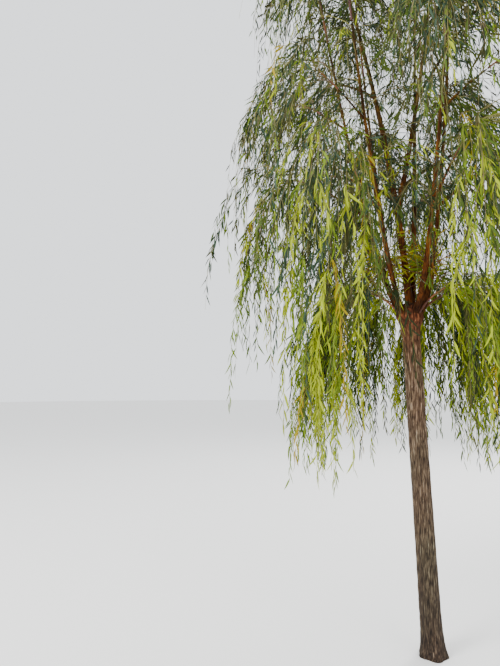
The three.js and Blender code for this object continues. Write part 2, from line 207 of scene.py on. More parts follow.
# Foliage carried on: the rule for twigs runs several times over each stem, shoots leave the limbs, and
# strands hang from them all where the solids have one leaf for a whole spray. Here and below, a pair that is
# named for lengths, widths or splays holds the least share, and how much more of it chance can add.
TWIG_PASSES = {"top": 9, "high": 4, "low": 4, "skirt": 4}
TWIG_POINTS = 10
TWIG_RADIUS = 0.0042
TWIG_TIP_RADIUS = 0.0016
STEM_SIDES = 6
STEM_TIP_SHARE = 0.25
SHOOT_SPACING = 0.13
SHOOT_PLACES = 40
SHOOT_FIRST = 0.3
SHOOT_LENGTH = 0.55
SHOOT_LENGTHS = (0.6, 0.8)
SHOOT_SPLAY = 1.1
SHOOT_DROOP = 5
STRAND_SPACING = 0.13
STRAND_LENGTHS = [(2.5, 0.85), (4.0, 0.4), (4.7, 0.42), (5.4, 0.64)]
STRAND_SCATTER = 0.8
STRAND_LEAST = 0.12
STRAND_FOOT = 1.2
STRAND_FOOT_SCATTER = 0.6
STRAND_DROOP = 7
STRAND_STEPS = 5
STRAND_STEP_GROWTH = 1.4
STRAND_RADIUS = 0.0016
STRAND_TIP_RADIUS = 0.0008
TUBE_SIDES = 3
PLACE_SCATTER = 0.5

# Young shoots that spread from the knuckles and turn up
TUFT_SHOOTS = 52
TUFT_PLACES = 60
TUFT_STEPS = 4
TUFT_LENGTH = 0.23
TUFT_LENGTHS = (0.5, 1)
TUFT_HEIGHT = 2 * KNUCKLE_SIZE
TUFT_UPWARDS = 0.15
TUFT_SCATTER = 1.5
TUFT_INWARDS = 0.3
TUFT_SPREAD = 0.7
TUFT_SPLAYS = (0.5, 1)
TUFT_RISE = -0.8
TUFT_RADIUS = 0.0056
TUFT_GREENS = ["sunlit_yellow_green_leaf", "golden_leaf", "fresh_green_leaf"]

# Leaves: long, narrow and folded along the midrib, broadest below the middle, and drooping at the tip
LEAF_LENGTH = 0.104
LEAF_LENGTHS = (0.7, 0.5)
LEAF_FIRST_LENGTH = 1.06
LEAF_SHORTENING = 0.18
LEAF_WIDTH = 0.0124
LEAF_WIDTHS = (0.85, 0.3)
LEAF_SPACING = 0.0242
LEAF_TURN_SCATTER = 0.6
LEAF_SPLAY = 0.6
LEAF_SPLAYS = (0.6, 0.8)
LEAF_HANG = 0.45
LEAF_BEND = 0.28
LEAF_BEND_SCATTER = 0.9
LEAF_TIP_REACH = 1.05
LEAF_STATIONS = [0.3, 0.68]
LEAF_HALF_WIDTHS = [1.0, 0.78]
LEAF_FOLD = 0.3
LEAF_FACES = [(0, 2, 1), (0, 3, 2), (1, 2, 5), (1, 5, 4), (2, 3, 6), (2, 6, 5), (4, 5, 7), (5, 6, 7)]

# The share of each that is bare of leaves at its foot
STRAND_BARE = 0.05
TWIG_BARE = 0.25
TUFT_BARE = 0.2

# Leaf greens, each with its share of the sprays low in the crown, high in it, and in the shade round the
# head.
# The sunlit yellow-green is partly the leaves' own colour and partly painted sunlight through them, and the
# shaded deep green is painted shade, so the greens dealt low paint light and those dealt high or round the
# head paint shade
GREENS = [
    ("sunlit_yellow_green_leaf", (0.26, 0.31, 0.006), 0.36, 0.03, 0.08),
    ("fresh_green_leaf", (0.12, 0.18, 0.005), 0.27, 0.11, 0.12),
    ("mid_green_leaf", (0.053, 0.087, 0.007), 0.15, 0.27, 0.18),
    ("shaded_deep_green_leaf", (0.018, 0.032, 0.008), 0.08, 0.21, 0.24),
    ("blue_green_leaf", (0.028, 0.054, 0.029), 0.07, 0.25, 0.32),
    ("olive_leaf", (0.048, 0.048, 0.009), 0.05, 0.15, 0.06),
    ("golden_leaf", (0.29, 0.215, 0.005), 0.04, 0.015, 0.0),
]
# Heights between which the greens dealt run from the bright ones of painted sunlight to the dark ones of
# painted shade
BRIGHT_BELOW = 2.5
DARK_ABOVE = 4.0
SHADE_REACH = 0.8
SHADE_FADE = 0.35
SHADE_HEIGHTS = [(2.6, 0), (2.9, 1), (3.5, 1), (4.1, 0)]

# How open the parts of the crown are halfway up, as a share of leaves left out, and how that runs with height
OPENNESS = {"centre": 0.6, "rear": 0.53, "front_left": 0.64, "left": 0.6, "front_right": 0.48}
OTHER_OPENNESS = 0.4
OPEN_HEIGHTS = [(2.6, 0.0), (3.4, 0.85), (3.8, 1.0), (5.4, 1.0), (6.1, 0.7), (6.6, 0.5)]

# How far strands and leaves can pass the solids' box
BOX_MARGIN = 0.03

# Barks: the heights that their colours run between, and which bark each kind of twig has
OLD_BARK_HEIGHTS = (0, 2.54)
YOUNG_BARK_HEIGHTS = (2.45, 5.4)
TWIG_BARK, SHOOT_BARK = 0, 1


# Camera, floor and light

def place_camera():
    bpy.ops.object.camera_add(
        location=CAMERA_PLACE,
        rotation=(math.radians(90 + CAMERA_UP), 0, math.radians(CAMERA_LEFT)),
    )
    camera = bpy.context.object
    camera.name = "camera"
    camera.data.sensor_width = SENSOR_WIDTH
    camera.data.lens = LENS
    bpy.context.scene.camera = camera


def add_light(name, place, size, power):
    bpy.ops.object.light_add(type="AREA", location=place)
    light = bpy.context.object
    light.name = name
    light.data.shape = "DISK"
    light.data.size = size
    light.data.energy = power
    light.rotation_euler = (Vector(LIGHT_AIM) - Vector(place)).to_track_quat("-Z", "Y").to_euler()


def light_studio():
    for name, place, size, power in LIGHTS:
        add_light(name, place, size, power)
    world = bpy.data.worlds.new("pale_studio")
    bpy.context.scene.world = world
    world.use_nodes = True
    background = world.node_tree.nodes["Background"]
    background.inputs["Color"].default_value = SURROUND_COLOUR
    background.inputs["Strength"].default_value = SURROUND_STRENGTH


def deselect():
    bpy.ops.object.select_all(action="DESELECT")


def lay_floor():
    deselect()
    bpy.ops.mesh.primitive_circle_add(
        vertices=FLOOR_SIDES, radius=FLOOR_RADIUS, fill_type="NGON", location=(0, 0, 0),
    )
    floor = bpy.context.object
    floor.name = "floor"
    material, shader = new_material("pale_floor")
    shader.inputs["Base Color"].default_value = FLOOR_COLOUR
    shader.inputs["Roughness"].default_value = 0.9
    floor.data.materials.append(material)


# Materials

def new_material(name):
    material = bpy.data.materials.new(name)
    material.use_nodes = True
    return material, material.node_tree.nodes["Principled BSDF"]


def stretched_noise(material, scale, stretch, detail):
    """Noise on the piece's own coordinates, drawn out upwards so that it runs with the bark."""
    nodes, links = material.node_tree.nodes, material.node_tree.links
    place = nodes.new("ShaderNodeTexCoord")
    mapping = nodes.new("ShaderNodeMapping")
    noise = nodes.new("ShaderNodeTexNoise")
    mapping.inputs["Scale"].default_value = (1, 1, 1 / stretch)
    noise.inputs["Scale"].default_value = scale
    noise.inputs["Detail"].default_value = detail
    links.new(place.outputs["Object"], mapping.inputs["Vector"])
    links.new(mapping.outputs["Vector"], noise.inputs["Vector"])
    return noise.outputs["Fac"]


def height_share(material, low, high):
    """From 0 at the low height to 1 at the high one."""
    nodes, links = material.node_tree.nodes, material.node_tree.links
    place = nodes.new("ShaderNodeTexCoord")
    parts = nodes.new("ShaderNodeSeparateXYZ")
    share = nodes.new("ShaderNodeMapRange")
    share.inputs["From Min"].default_value = low
    share.inputs["From Max"].default_value = high
    links.new(place.outputs["Object"], parts.inputs["Vector"])
    links.new(parts.outputs["Z"], share.inputs["Value"])
    return share.outputs["Result"]


def relief_value(material):
    """How high each spot stands on the piece's own relief, from 0 to 1."""
    node = material.node_tree.nodes.new("ShaderNodeAttribute")
    node.attribute_name = "relief"
    return node.outputs["Fac"]


def ramped(material, value, stops):
    """A colour that runs through its stops of place and colour as the value goes from 0 to 1."""
    node = material.node_tree.nodes.new("ShaderNodeValToRGB")
    elements = node.color_ramp.elements
    elements[0].position, elements[0].color = stops[0][0], (*stops[0][1], 1)
    elements[1].position, elements[1].color = stops[-1][0], (*stops[-1][1], 1)
    for place, colour in stops[1:-1]:
        elements.new(place).color = (*colour, 1)
    material.node_tree.links.new(value, node.inputs["Fac"])
    return node.outputs["Color"]


def multiplied(material, share, first, second):
    """The first colour, taken by a share towards the product of both."""
    node = material.node_tree.nodes.new("ShaderNodeMix")
    node.data_type = "RGBA"
    node.blend_type = "MULTIPLY"
    node.inputs["Factor"].default_value = share
    material.node_tree.links.new(first, node.inputs["A"])
    material.node_tree.links.new(second, node.inputs["B"])
    return node.outputs["Result"]


def add_bump(material, shader, height, strength, distance):
    bump = material.node_tree.nodes.new("ShaderNodeBump")
    bump.inputs["Strength"].default_value = strength
    bump.inputs["Distance"].default_value = distance
    material.node_tree.links.new(height, bump.inputs["Height"])
    material.node_tree.links.new(bump.outputs["Normal"], shader.inputs["Normal"])


def old_bark_material():
    """Grey-brown bark: dark furrows and cracks, partly the bark's own colour and partly painted shade, fine
    pale ridges that run upwards, painted shade that darkens it towards the foot, and redder bark at the head.
    """
    material, shader = new_material("old_bark")
    # Darker where the relief sinks: partly the furrows' own dark colour, partly painted shade in them
    by_relief = ramped(material, relief_value(material), [
        (0.0, (0.022, 0.013, 0.009)),
        (0.3, (0.058, 0.038, 0.027)),
        (0.6, (0.10, 0.070, 0.051)),
        (0.85, (0.15, 0.110, 0.085)),
        (1.0, (0.23, 0.185, 0.15)),
    ])
    streaks = ramped(material, stretched_noise(material, scale=170, stretch=9, detail=6), [
        (0.34, (0.6, 0.56, 0.53)),
        (0.52, (0.92, 0.9, 0.88)),
        (0.64, (1.7, 1.7, 1.67)),
    ])
    # The cracks sink the bump and darken the colour at the same places: partly the fissures' own dark colour,
    # partly painted shade
    crack_noise = stretched_noise(material, scale=120, stretch=5, detail=8)
    cracks = ramped(material, crack_noise, [
        (0.40, (0.30, 0.27, 0.25)),
        (0.47, (1, 1, 1)),
        (0.62, (1.12, 1.12, 1.12)),
    ])
    patches = ramped(material, stretched_noise(material, scale=5, stretch=2.5, detail=3), [
        (0.35, (0.86, 0.92, 0.82)),
        (0.65, (1.14, 0.98, 0.9)),
    ])
    # Painted shade that darkens the trunk towards its foot, then the bark's own redder colour at the head
    by_height = ramped(material, height_share(material, *OLD_BARK_HEIGHTS), [
        (0.0, (0.37, 0.37, 0.34)),
        (0.3, (0.71, 0.73, 0.63)),
        (0.5, (0.98, 0.99, 0.88)),
        (0.65, (1.46, 1.46, 1.34)),
        (0.8, (1.66, 1.58, 1.37)),
        (0.9, (1.66, 1.16, 0.83)),
        (0.96, (1.42, 0.65, 0.35)),
        (1.0, (0.55, 0.22, 0.08)),
    ])
    streaked = multiplied(material, 0.9, by_relief, streaks)
    cracked = multiplied(material, 0.7, streaked, cracks)
    patched = multiplied(material, 0.7, cracked, patches)
    coloured = multiplied(material, 1.0, patched, by_height)
    material.node_tree.links.new(coloured, shader.inputs["Base Color"])
    shader.inputs["Roughness"].default_value = 0.92
    shader.inputs["Specular IOR Level"].default_value = 0.25
    add_bump(material, shader, crack_noise, strength=0.9, distance=0.004)
    return material


def young_bark_material():
    """Red-brown bark, dark and cracked low on the boughs, with orange patches that are partly its own orange
    and partly painted highlights, darker in its furrows, partly by painted shade, and olive higher up.
    """
    material, shader = new_material("young_bark")
    by_height = ramped(material, height_share(material, *YOUNG_BARK_HEIGHTS), [
        (0.0, (0.058, 0.020, 0.005)),
        (0.12, (0.086, 0.027, 0.004)),
        (0.3, (0.090, 0.029, 0.004)),
        (0.5, (0.058, 0.026, 0.003)),
        (0.75, (0.042, 0.028, 0.003)),
        (1.0, (0.045, 0.045, 0.006)),
    ])
    # Orange patches: partly the bark's own orange, partly painted highlights
    patches = ramped(material, stretched_noise(material, scale=16, stretch=3.5, detail=5), [
        (0.38, (0.55, 0.45, 0.42)),
        (0.5, (1.1, 1.05, 1)),
        (0.6, (2.1, 1.9, 1.4)),
    ])
    streaks = ramped(material, stretched_noise(material, scale=90, stretch=9, detail=8), [
        (0.32, (0.5, 0.46, 0.44)),
        (0.52, (1, 1, 1)),
        (0.7, (1.6, 1.5, 1.35)),
    ])
    cracks = ramped(material, stretched_noise(material, scale=85, stretch=5, detail=8), [
        (0.41, (0.26, 0.22, 0.20)),
        (0.48, (1, 1, 1)),
        (0.62, (1.25, 1.2, 1.15)),
    ])
    # Darker where the relief sinks: partly the furrows' own dark colour, partly painted shade in them
    furrows = ramped(material, relief_value(material), [
        (0.0, (0.38, 0.34, 0.32)),
        (0.5, (1, 1, 1)),
        (1.0, (1.4, 1.4, 1.4)),
    ])
    patched = multiplied(material, 0.8, by_height, patches)
    streaked = multiplied(material, 0.8, patched, streaks)
    cracked = multiplied(material, 0.75, streaked, cracks)
    furrowed = multiplied(material, 0.9, cracked, furrows)
    material.node_tree.links.new(furrowed, shader.inputs["Base Color"])
    shader.inputs["Roughness"].default_value = 0.78
    shader.inputs["Specular IOR Level"].default_value = 0.12
    fine_noise = stretched_noise(material, scale=110, stretch=6, detail=8)
    add_bump(material, shader, fine_noise, strength=0.8, distance=0.003)
    return material


def thin_bark_material(name, scale, stretch, roughness, stops):
    """Bark of something thin, whose colours take turns along it."""
    material, shader = new_material(name)
    tones = ramped(material, stretched_noise(material, scale, stretch, detail=3), stops)
    material.node_tree.links.new(tones, shader.inputs["Base Color"])
    shader.inputs["Roughness"].default_value = roughness
    return material


def thin_bark_materials():
    """Olive and yellow-brown twigs, and the red and orange of the stems and of the shoots on the knuckles."""
    return [
        thin_bark_material("twig_bark", scale=4, stretch=1.5, roughness=0.6, stops=[
            (0.35, (0.11, 0.065, 0.022)),
            (0.5, (0.19, 0.16, 0.04)),
            (0.66, (0.27, 0.26, 0.06)),
        ]),
        thin_bark_material("red_shoot_bark", scale=9, stretch=2, roughness=0.55, stops=[
            (0.35, (0.06, 0.014, 0.008)),
            (0.5, (0.14, 0.034, 0.010)),
            (0.66, (0.26, 0.09, 0.02)),
        ]),
    ]


def leaf_materials():
    materials = []
    for name, colour, *_ in GREENS:
        material, shader = new_material(name)
        shader.inputs["Base Color"].default_value = (*colour, 1)
        shader.inputs["Roughness"].default_value = 0.6
        shader.inputs["Specular IOR Level"].default_value = 0.16
        materials.append(material)
    return materials


# Paths

def unit(vectors):
    return vectors / np.linalg.norm(vectors, axis=-1, keepdims=True)


def heading(azimuth, tilt):
    """The direction at an azimuth and a tilt from upright, both in degrees."""
    azimuth, tilt = math.radians(azimuth), math.radians(tilt)
    return np.array([
        math.sin(tilt) * math.cos(azimuth),
        math.sin(tilt) * math.sin(azimuth),
        math.cos(tilt),
    ])


def outwards(azimuth):
    return heading(azimuth, 90)


def trunk_axis(height):
    return np.array([-LEAN * height, 0.0, height])


def bending_paths(starts, directions, lengths, steps, droop, growth=1.0):
    """Paths that leave their starts on their directions and bend towards the ground as they go."""
    shares = growth ** np.arange(steps)
    shares = shares / shares.sum()
    points = [starts]
    along = unit(directions)
    for share in shares:
        step = (lengths * share)[..., None]
        points.append(points[-1] + along * step)
        along = unit(along + DOWN * droop * step)
    return np.stack(points, axis=-2)


def bending_path(start, direction, length, steps, droop, growth=1.0):
    return bending_paths(start[None], direction[None], np.array([length]), steps, droop, growth)[0]


def step_at(count, share):
    place = share * (count - 1)
    step = min(int(place), count - 2)
    return step, place - step


def point_at(points, share):
    step, part = step_at(len(points), share)
    return points[step] * (1 - part) + points[step + 1] * part


def direction_at(points, share):
    step, _ = step_at(len(points), share)
    return unit(points[step + 1] - points[step])


def radius_at(limb, share):
    return np.interp(share * (len(limb["radii"]) - 1), range(len(limb["radii"])), limb["radii"])


def lengths_of(paths):
    return np.linalg.norm(np.diff(paths, axis=-2), axis=-1).sum(-1)


def run_along(points):
    """How far along the path each of its points is."""
    return np.concatenate([[0], np.cumsum(np.linalg.norm(np.diff(points, axis=0), axis=1))])


def smoothed(points, count):
    """A smooth path of evenly spaced points through the given ones."""
    ends = np.vstack([2 * points[0] - points[1], points, 2 * points[-1] - points[-2]])
    fine = []
    for i in range(len(points) - 1):
        before, start, end, after = ends[i:i + 4]
        for t in np.arange(SPLINE_STEPS) / SPLINE_STEPS:
            fine.append(0.5 * (
                2 * start + (end - before) * t
                + (2 * before - 5 * start + 4 * end - after) * t ** 2
                + (3 * start - before - 3 * end + after) * t ** 3
            ))
    fine = np.array([*fine, points[-1]])
    run = run_along(fine)
    places = np.linspace(0, run[-1], count)
    return np.stack([np.interp(places, run, fine[:, k]) for k in range(3)], axis=1)


def frames_along(paths):
    """At each point of each path: the way along it and two directions square to that, without twist."""
    ahead = np.concatenate([paths[:, 1:], paths[:, -1:]], axis=1)
    behind = np.concatenate([paths[:, :1], paths[:, :-1]], axis=1)
    along = unit(ahead - behind)
    across = np.empty_like(along)
    last = np.broadcast_to(np.array([0.0, 1.0, 0.0]), along[:, 0].shape)
    for i in range(paths.shape[1]):
        last = unit(last - along[:, i] * (last * along[:, i]).sum(-1, keepdims=True))
        across[:, i] = last
    return along, across, np.cross(along, across)


# Limbs, by the solids' rule

def limb(part, name, azimuth, points, foot_radius, tip_radius):
    share = np.arange(len(points)) / (len(points) - 1)
    radii = (foot_radius + (tip_radius - foot_radius) * share) * (1 + COLLAR * np.exp(-share / COLLAR_LENGTH))
    return {"part": part, "name": name, "azimuth": azimuth, "points": points, "radii": radii}


def leader_limb(plan):
    start = trunk_axis(LEADER_START_HEIGHT)
    out = outwards(plan["azimuth"])
    inset = LEADER_INSET if plan["power"] < 1 else 0
    shares = (np.arange(LEADER_RINGS + 1) / LEADER_RINGS) ** FOOT_CROWDING
    points = np.array([
        start + out * (inset + plan["spread"] * share ** plan["power"]) + UP * plan["rise"] * share
        for share in shares
    ])
    part, radius = plan["name"], plan["radius"]
    return limb(part, "bough_" + part, plan["azimuth"], points, radius, radius * LEADER_TIP_SHARE)


def leader_share(rise_share):
    """The share of a leader's points that lies below a share of its rise."""
    return rise_share ** (1 / FOOT_CROWDING)


def fork_limb(parent):
    share = leader_share(FORK["at"])
    radius = radius_at(parent, share) * FORK_SHARE
    direction = heading(FORK["azimuth"], FORK["tilt"])
    start = point_at(parent["points"], share)
    points = bending_path(start, direction, FORK["length"], FORK_RINGS, FORK_STRAIGHTENING)
    return limb(FORK["name"], "bough_fork", FORK["azimuth"], points, radius, radius * FORK_TIP_SHARE)


def side_bough_limb(leader, plan, side):
    azimuth = plan[side["tier"]]
    share = side["fork_at"] if plan is FORK else leader_share(side["at"])
    start = point_at(leader["points"], share)
    run = (start - trunk_axis(FORK_HEIGHT)) @ outwards(azimuth)
    length = (side["reach"] - run) / math.sin(math.radians(side["tilt"]))
    radius = radius_at(leader, share) * SIDE_BOUGH_SHARE
    direction = heading(azimuth, side["tilt"])
    points = bending_path(start, direction, length, SIDE_BOUGH_RINGS, SIDE_BOUGH_DROOP)
    part, tier = plan["name"], side["tier"]
    name = f"side_bough_{part}_{tier}"
    return {"tier": tier, **limb(part, name, azimuth, points, radius, radius * SIDE_BOUGH_TIP_SHARE)}


def grow_limbs():
    leaders = {plan["name"]: leader_limb(plan) for plan in LEADERS}
    leaders["fork"] = fork_limb(leaders[FORK["parent"]])
    side_boughs = [
        side_bough_limb(leaders[plan["name"]], plan, side)
        for plan in [*LEADERS, FORK]
        for side in SIDE_BOUGHS
    ]
    return list(leaders.values()), side_boughs


# Masses of foliage, by the solids' rule

def seeded(seed):
    """The solids' own generator of numbers from 0 to 1."""
    state = seed

    def draw():
        nonlocal state
        state = (state + 0x6D2B79F5) & 0xFFFFFFFF
        t = state
        t = ((t ^ (t >> 15)) * (t | 1)) & 0xFFFFFFFF
        t ^= (t + (((t ^ (t >> 7)) * (t | 61)) & 0xFFFFFFFF)) & 0xFFFFFFFF
        return (t ^ (t >> 14)) / 2 ** 32

    return draw


def mass_plan(part, place, kind, start, direction, radius):
    """A mass's stem, and the anchors under it that mark out its space."""
    rule = FOLIAGE[kind]
    points = bending_path(start, direction, rule["stem"], STEM_STEPS, rule["droop"])
    anchors = []
    for share in np.arange(0, 1 + ROUNDING, ANCHOR_SPACING):
        reach = rule["length"] * rule["hang"] * (1 if kind == "top" else share)
        for fall in np.arange(0, reach + ROUNDING, ANCHOR_FALL):
            anchors.append(point_at(points, share) + DOWN * fall)
    name = f"foliage_{part}_{place}"
    return dict(part=part, name=name, kind=kind, points=points, anchors=np.array(anchors), radius=radius)


def plan_at_tip(one, kind):
    direction = direction_at(one["points"], 1)
    start = one["points"][-1] + direction * CLEARANCE
    return mass_plan(one["part"], kind, kind, start, direction, one["radii"][-1])


def plan_on_head(azimuth, number):
    start = trunk_axis(SKIRT_HEIGHT) + outwards(azimuth) * HEAD_RADIUS / 2
    return mass_plan("skirt", number, "skirt", start, heading(azimuth, SKIRT_TILT), SKIRT_STEM_RADIUS)


def plan_masses(leaders, side_boughs):
    """All masses in the solids' order, each with its own seed, as in the solids."""
    plans = [
        *[plan_at_tip(one, "top") for one in leaders],
        *[plan_at_tip(one, one["tier"]) for one in side_boughs],
        *[plan_on_head(azimuth, i + 1) for i, azimuth in enumerate(SKIRT_AZIMUTHS)],
    ]
    return [{"seed": i + 1, **plan} for i, plan in enumerate(plans)]


def distances_to_limbs(points, limbs):
    """How far each point is from the nearest limb, if each limb were as thick all along as at its widest."""
    gaps = []
    for one in limbs:
        starts, ends = one["points"][:-1], one["points"][1:]
        way = ends - starts
        share = ((points[:, None] - starts) * way).sum(-1) / (way * way).sum(-1)
        feet = starts + way * np.clip(share, 0, 1)[..., None]
        gaps.append(np.linalg.norm(points[:, None] - feet, axis=-1).min(1) - max(one["radii"]))
    return np.min(gaps, axis=0)


def in_its_space(plan, plans, limbs, points, girth):
    """True where a point is nearer to this mass than to any other, above ground, and clear of every limb."""
    own = np.linalg.norm(points[:, None] - plan["anchors"], axis=-1).min(1) + SPACE_MARGIN
    others = np.concatenate([other["anchors"] for other in plans if other is not plan])
    nearest_other = np.linalg.norm(points[:, None] - others, axis=-1).min(1)
    return (points[:, 2] >= 0) & (nearest_other >= own) & (distances_to_limbs(points, limbs) > girth)


def twig_paths(plan, plans, limbs):
    """The solids' twigs, and more of them between by the same rule."""
    rule = FOLIAGE[plan["kind"]]
    draw = seeded(plan["seed"])
    along, across, over = (part[0] for part in frames_along(plan["points"][None]))
    count = rule["twigs"]
    twigs = []
    passes = TWIG_PASSES[plan["kind"]]
    for turn in range(count * passes):
        place = turn % count + TWIG_SCATTER * draw() + (turn // count) / passes
        share = min(rule["first"] + (1 - rule["first"]) * place / count, TWIG_LAST)
        step = int(share * STEM_STEPS)
        angle = turn * GOLDEN_ANGLE + draw()
        side = across[step] * math.cos(angle) + over[step] * math.sin(angle)
        reach = rule["length"] * (1 + TWIG_SCATTER * (draw() - 0.5))
        start = point_at(plan["points"], share)
        direction = along[step] + side * rule["splay"]
        path = bending_path(start, direction, reach, TWIG_STEPS, rule["twig_droop"], TWIG_STEP_GROWTH)
        inside = in_its_space(plan, plans, limbs, path[1:], TWIG_GIRTH)
        kept = len(path) if inside.all() else 1 + int(np.argmin(inside))
        if kept >= TWIG_LEAST_POINTS:
            twigs.append(smoothed(path[:kept], TWIG_POINTS))
    return twigs


# Finer growth

def by_chance(shares, draw):
    """A share between the least one and the most, by a draw from 0 to 1."""
    least, more = shares
    return least + more * draw


def shoots_on(one, rng):
    """Leafy shoots along a limb, above its bare foot."""
    points = smoothed(one["points"], SHOOT_PLACES)
    length = lengths_of(points)
    count = int(length * (1 - SHOOT_FIRST) / SHOOT_SPACING)
    along, across, over = (part[0] for part in frames_along(points[None]))
    shoots = []
    for turn in range(count):
        share = SHOOT_FIRST + (1 - SHOOT_FIRST) * (turn + rng.random()) / count
        step = int(share * (len(points) - 1))
        angle = turn * GOLDEN_ANGLE + rng.random()
        side = across[step] * math.cos(angle) + over[step] * math.sin(angle)
        direction = along[step] + side * SHOOT_SPLAY
        reach = SHOOT_LENGTH * by_chance(SHOOT_LENGTHS, rng.random())
        path = bending_path(points[step], direction, reach, TWIG_STEPS, SHOOT_DROOP, TWIG_STEP_GROWTH)
        shoots.append(smoothed(path, TWIG_POINTS))
    return shoots


def tuft_on(one, rng):
    """Shoots that spread from a leader's knuckle, lean in over the head and turn up."""
    points = smoothed(one["points"], TUFT_PLACES)
    middle = points[np.argmin(abs(points[:, 2] - KNUCKLE_HEIGHT))]
    inwards = -outwards(one["azimuth"]) * TUFT_INWARDS
    shoots = []
    for turn in range(TUFT_SHOOTS):
        side = outwards(math.degrees(turn * GOLDEN_ANGLE))
        upwards = UP * (TUFT_UPWARDS + TUFT_SCATTER * (rng.random() - 0.5))
        direction = upwards + inwards + side * TUFT_SPREAD * by_chance(TUFT_SPLAYS, rng.random())
        reach = TUFT_LENGTH * by_chance(TUFT_LENGTHS, rng.random())
        start = middle + UP * TUFT_HEIGHT * (rng.random() - 0.5)
        shoots.append(smoothed(bending_path(start, direction, reach, TUFT_STEPS, TUFT_RISE), TWIG_POINTS))
    return shoots


def at_heights(stops, heights):
    """The value at each height, from stops of height and value."""
    return np.interp(heights, *zip(*stops))


def places_along(paths, spacing, rng):
    """Places at a spacing along evenly stepped paths: each one's path, number on it and share of it."""
    counts = np.maximum(2, np.round(lengths_of(paths) / spacing)).astype(int)
    places = np.arange(counts.max())[None, :]
    shares = (places + PLACE_SCATTER * rng.random((len(paths), counts.max()))) / counts[:, None]
    path, place = np.nonzero(places < counts[:, None])
    return path, place, shares[path, place]


def frame_at(paths, frames, path, share):
    """The point and the three directions at a share of each chosen path."""
    spot = share * (paths.shape[1] - 1)
    step = np.minimum(spot.astype(int), paths.shape[1] - 2)
    part = (spot - step)[:, None]
    point = paths[path, step] * (1 - part) + paths[path, step + 1] * part
    return point, *(directions[path, step] for directions in frames)


def strands_on(twigs, rng):
    """Thin strands that leave the twigs in turn and hang from them."""
    frames = frames_along(twigs)
    path, place, share = places_along(twigs, STRAND_SPACING, rng)
    point, along, across, over = frame_at(twigs, frames, path, share)
    angle = (place * GOLDEN_ANGLE + path + rng.random(len(path)))[:, None]
    side = across * np.cos(angle) + over * np.sin(angle)
    direction = unit(along + side * SPRAY_SPLAY) + DOWN * SPRAY_HANG
    lengths = at_heights(STRAND_LENGTHS, point[:, 2])
    lengths = lengths * (1 + STRAND_SCATTER * (rng.random(len(path)) - 0.5))
    lengths = np.minimum(lengths, point[:, 2] - STRAND_FOOT - STRAND_FOOT_SCATTER * rng.random(len(path)))
    long_enough = lengths > STRAND_LEAST
    point, direction, lengths = point[long_enough], direction[long_enough], lengths[long_enough]
    return bending_paths(point, direction, lengths, STRAND_STEPS, STRAND_DROOP, STRAND_STEP_GROWTH)


def leaves_on(paths, tints, bare, openness, rng):
    """Leaves by turns along thin paths: each one's root, way, blade's way, length and green."""
    frames = frames_along(paths)
    path, place, share = places_along(paths, LEAF_SPACING, rng)
    left_out = openness * at_heights(OPEN_HEIGHTS, paths[path, 0, 2])
    kept = (share > bare) & (rng.random(len(share)) > left_out)
    path, place, share = path[kept], place[kept], share[kept]
    point, along, across, over = frame_at(paths, frames, path, share)
    count = len(path)
    angle = (place * GOLDEN_ANGLE + path + LEAF_TURN_SCATTER * rng.random(count))[:, None]
    side = across * np.cos(angle) + over * np.sin(angle)
    splay = LEAF_SPLAY * by_chance(LEAF_SPLAYS, rng.random(count))[:, None]
    direction = unit(unit(along + side * splay) + DOWN * LEAF_HANG)
    blade = unit(np.cross(direction, rng.normal(size=(count, 3))))
    length = LEAF_LENGTH * by_chance(LEAF_LENGTHS, rng.random(count))
    length = length * (LEAF_FIRST_LENGTH - LEAF_SHORTENING * share)
    return {"root": point, "way": direction, "blade": blade, "length": length, "tint": tints[path]}


def leaf_mesh(leaves, rng):
    """Vertices and faces of the leaves: folded along the midrib, and bent down by their weight."""
    length = leaves["length"][:, None]
    half = length * LEAF_WIDTH / LEAF_LENGTH / 2 * by_chance(LEAF_WIDTHS, rng.random(length.shape))
    sag = unit(DOWN + LEAF_BEND_SCATTER * rng.normal(size=leaves["way"].shape))
    sag = sag - leaves["way"] * (sag * leaves["way"]).sum(-1, keepdims=True)

    def line(t):
        return leaves["root"] + length * (leaves["way"] * t + sag * LEAF_BEND * t * t)

    face = np.cross(leaves["way"], leaves["blade"])
    corners = [line(0)]
    for t, wide in zip(LEAF_STATIONS, LEAF_HALF_WIDTHS):
        edge = leaves["blade"] * half * wide
        raised = face * half * wide * LEAF_FOLD
        corners.extend([line(t) + edge + raised, line(t) - raised, line(t) - edge + raised])
    corners.append(line(1))
    vertices = np.stack(corners, axis=1)
    faces = np.array(LEAF_FACES)[None] + (np.arange(len(vertices)) * vertices.shape[1])[:, None, None]
    return vertices, faces


def tube_mesh(paths, foot_radii, tip_radii, sides):
    """Vertices and faces of thin tubes along paths, closed at the tip and open at the hidden foot."""
    count, points = paths.shape[:2]
    _, across, over = frames_along(paths)
    share = (np.arange(points) / (points - 1))[None, :, None, None]
    radius = foot_radii[:, None, None, None] * (1 - share) + tip_radii[:, None, None, None] * share
    turn = (2 * math.pi * np.arange(sides) / sides)[None, None, :, None]
    rings = paths[:, :, None] + radius * (across[:, :, None] * np.cos(turn) + over[:, :, None] * np.sin(turn))
    faces = []
    for low in range(points - 1):
        for side in range(sides):
            a, b = low * sides + side, low * sides + (side + 1) % sides
            faces.append((a, b, b + sides))
            faces.append((a, b + sides, a + sides))
    last = (points - 1) * sides
    faces.extend((last, last + side, last + side + 1) for side in range(1, sides - 1))
    vertices = rings.reshape(count, points * sides, 3)
    return vertices, np.array(faces)[None] + (np.arange(count) * points * sides)[:, None, None]


